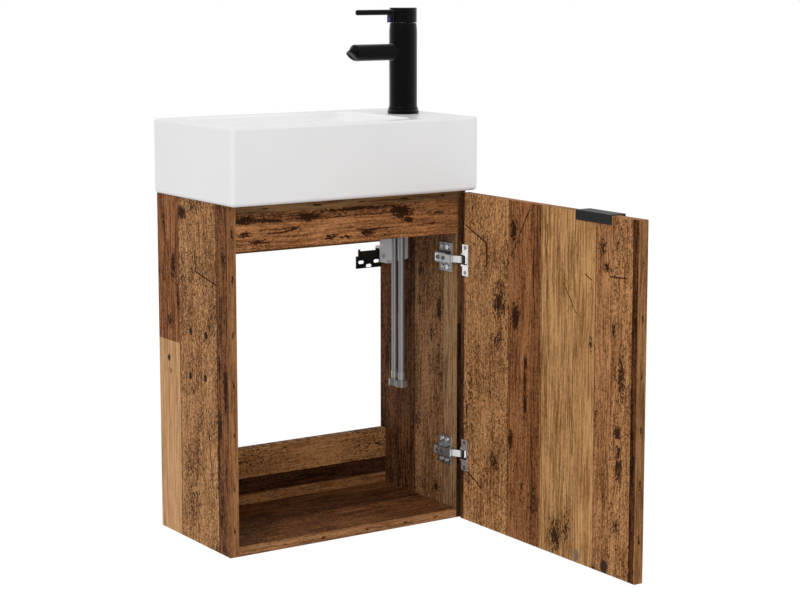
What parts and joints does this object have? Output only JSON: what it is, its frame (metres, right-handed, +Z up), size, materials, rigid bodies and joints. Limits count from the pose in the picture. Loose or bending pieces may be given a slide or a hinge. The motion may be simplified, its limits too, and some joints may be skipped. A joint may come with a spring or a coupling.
{
  "type": "wall-hung vanity unit",
  "caption": "Narrow wall-hung vanity unit: ceramic basin with side tap on a wood-look cabinet with one hinged door, hanger brackets and supply hoses.",
  "frame": {"origin": "on the wall plane, centred across, at the height of the outer fixing slots of the wall plates", "axes": "+X to the right seen from the front, +Y into the wall, +Z up; the front faces -Y"},
  "size_m": [0.4436, 0.6616, 0.8121],
  "materials": {
    "board": "printed reclaimed-wood face, satin",
    "ceramic": "gloss white glaze",
    "black_metal": "matt black coating",
    "seal": "matt",
    "cartridge": "matt",
    "zinc_steel": "zinc plated",
    "indicator": "gloss blue-violet",
    "aerator": "dark grey",
    "brass": "plain",
    "hose": "grey braided outside",
    "dark_nut": "dark plated",
    "handle_black": "satin dark grey",
    "nickel": "bright nickel plate",
    "black_plate": "matt black"
  },
  "bodies": {
    "cabinet": {"left_side_panel": "board", "right_side_panel": "board", "bottom_panel": "board", "front_top_stretcher": "board", "rear_top_stretcher": "board", "front_top_rail": "board", "rear_top_rail": "board", "rear_bottom_rail": "board", "cam_locks": "zinc_steel", "cam_bolts": "zinc_steel", "basin": "ceramic", "tap_body": "black_metal", "tap_gasket": "seal", "tap_cartridge": "cartridge", "tap_washer": "zinc_steel", "tap_aerator": "aerator", "tap_stud": "brass", "tap_nut": "brass", "hose_front_tube": "hose", "hose_rear_tube": "hose", "hose_front_tail": "zinc_steel", "hose_rear_tail": "zinc_steel", "hose_front_ferrule": "zinc_steel", "hose_rear_ferrule": "zinc_steel", "hose_front_nut": "dark_nut", "hose_rear_nut": "dark_nut", "hinge_plate_upper": "nickel", "hinge_plate_lower": "nickel", "hinge_plate_screws": "nickel", "hinge_arm_screws": "nickel", "hinge_pins": "nickel", "hinge_arm_upper": "nickel", "hinge_arm_lower": "nickel", "hanger_box_left": "zinc_steel", "hanger_box_right": "zinc_steel", "hanger_hook_left": "zinc_steel", "hanger_hook_right": "zinc_steel", "hanger_screws": "zinc_steel", "hanger_adjusters": "zinc_steel", "wall_plate_left": "black_plate", "wall_plate_right": "black_plate"},
    "door": {"door_panel": "board", "door_handle": "handle_black", "handle_screws": "handle_black", "hinge_cup_upper": "nickel", "hinge_cup_lower": "nickel", "hinge_cup_screws": "nickel"},
    "hinge_links": {"hinge_link_upper": "nickel", "hinge_link_lower": "nickel"},
    "tap_spindle_body": {"tap_spindle": "cartridge", "tap_lift_pin": "zinc_steel"},
    "tap_handle": {"tap_stem": "zinc_steel", "tap_cap": "black_metal", "tap_lever": "black_metal", "tap_grub_screw": "zinc_steel", "tap_indicator": "indicator"}
  },
  "joints": [
    {"name": "door_swing", "type": "hinge", "parent": "cabinet", "child": "door", "pos_m": [0.2111, -0.2365, 0], "axis": [0, 0, 1], "range_deg": [-90, 5]},
    {"name": "link_swing", "type": "hinge", "parent": "cabinet", "child": "hinge_links", "pos_m": [0.19, -0.2171, 0], "axis": [0, 0, 1], "range_deg": [-2, 29]},
    {"name": "tap_turn", "type": "hinge", "parent": "cabinet", "child": "tap_spindle_body", "pos_m": [0.1613, -0.1245, 0.3843], "axis": [0, 0, 1], "range_deg": [-45, 45]},
    {"name": "tap_lift", "type": "hinge", "parent": "tap_spindle_body", "child": "tap_handle", "pos_m": [0.1613, -0.1245, 0.3843], "axis": [0, 1, 0], "range_deg": [0, 15]}
  ],
  "couplings": [
    {"joint": "link_swing", "follows": "door_swing", "ratio": -0.3156}
  ]
}
